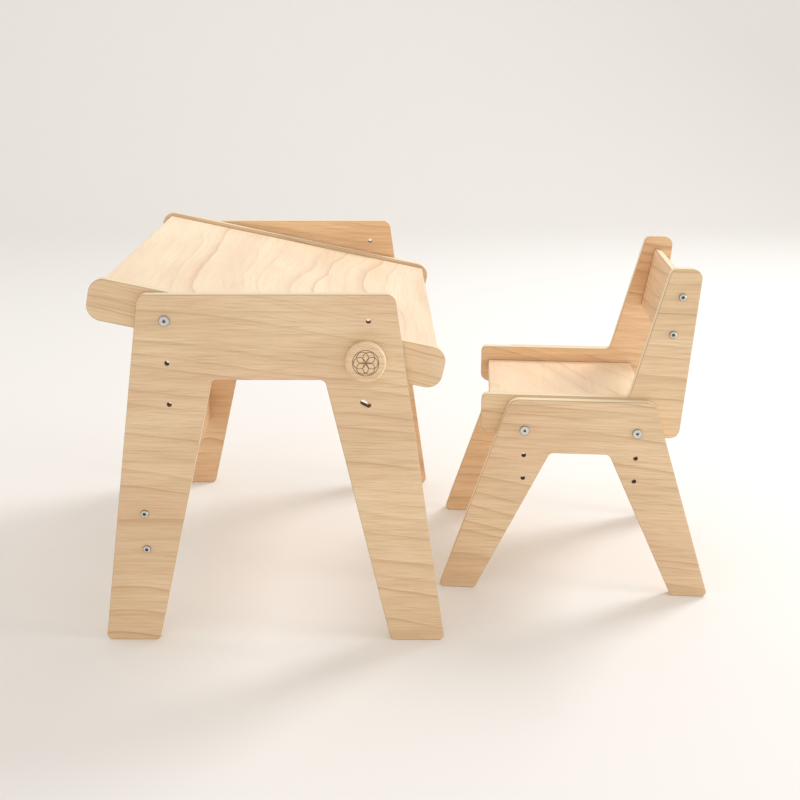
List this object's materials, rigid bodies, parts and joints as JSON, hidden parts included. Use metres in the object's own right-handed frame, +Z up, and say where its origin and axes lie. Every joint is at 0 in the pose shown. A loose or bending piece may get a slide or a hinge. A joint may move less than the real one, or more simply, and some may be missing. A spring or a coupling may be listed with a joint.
{
  "type": "kids table and chair set",
  "caption": "Child's plywood table with a top that tilts on its side frames and is locked by wooden knobs, and a matching chair with low arms.",
  "frame": {"origin": "on the floor, at the middle of the footprint of the table and the chair as they stand together", "axes": "+X from the table to the chair, +Y across both from the near side to the far side, +Z up"},
  "size_m": [0.9125, 0.6488, 0.517],
  "materials": {
    "frame_ply": "clear matt lacquer",
    "top_ply": "clear matt lacquer",
    "knob_ply": "clear matt lacquer",
    "nickel": "satin nickel plate",
    "zinc_steel": "zinc plate",
    "brass": "plain",
    "nylon": "moulded"
  },
  "bodies": {
    "table_base": {"table_frame_near": "frame_ply", "table_frame_far": "frame_ply", "stretcher": "frame_ply", "stretcher_bolts": "nickel", "stretcher_barrel_nuts": "zinc_steel", "pivot_bolts": "nickel", "pivot_sleeve_nuts": "nickel", "pivot_washers": "nylon"},
    "top": {"tabletop": "top_ply", "side_rail_near": "frame_ply", "side_rail_far": "frame_ply", "rail_screws": "zinc_steel", "rail_barrel_nuts": "zinc_steel", "rail_inserts": "brass"},
    "near_knob_washer": {"knob_washer_near": "zinc_steel"},
    "near_knob": {"knob_near": "knob_ply", "knob_stud_near": "zinc_steel"},
    "far_knob_washer": {"knob_washer_far": "zinc_steel"},
    "far_knob": {"knob_far": "knob_ply", "knob_stud_far": "zinc_steel"},
    "chair": {"chair_legs_near": "frame_ply", "chair_legs_far": "frame_ply", "chair_side_near": "frame_ply", "chair_side_far": "frame_ply", "chair_seat": "top_ply", "chair_backrest": "frame_ply", "chair_leg_bolts": "nickel", "chair_leg_nuts": "nickel", "seat_screws": "zinc_steel", "seat_barrel_nuts": "zinc_steel", "backrest_bolts": "nickel", "backrest_barrel_nuts": "zinc_steel"}
  },
  "joints": [
    {"name": "top_tilt", "type": "hinge", "parent": "table_base", "child": "top", "pos_m": [-0.3505, 0, 0.4652], "axis": [0, 1, 0], "range_deg": [-12, 12]},
    {"name": "near_knob_travel", "type": "slide", "parent": "table_base", "child": "near_knob_washer", "axis": [0, -1, 0], "range_m": [0, 0.012]},
    {"name": "near_knob_turn", "type": "hinge", "parent": "near_knob_washer", "child": "near_knob", "pos_m": [-0.0885, -0.308, 0.413], "axis": [0, -1, 0], "range_deg": [0, 4320]},
    {"name": "far_knob_travel", "type": "slide", "parent": "table_base", "child": "far_knob_washer", "axis": [0, 1, 0], "range_m": [0, 0.012]},
    {"name": "far_knob_turn", "type": "hinge", "parent": "far_knob_washer", "child": "far_knob", "pos_m": [-0.0885, 0.308, 0.413], "axis": [0, 1, 0], "range_deg": [0, 4320]},
    {"name": "chair_slide", "type": "slide", "parent": "table_base", "child": "chair", "axis": [1, 0, 0], "range_m": [-0.05, 0.4]}
  ],
  "couplings": [
    {"joint": "near_knob_turn", "follows": "near_knob_travel", "rad_per_m": 6283},
    {"joint": "far_knob_turn", "follows": "far_knob_travel", "rad_per_m": 6283}
  ]
}
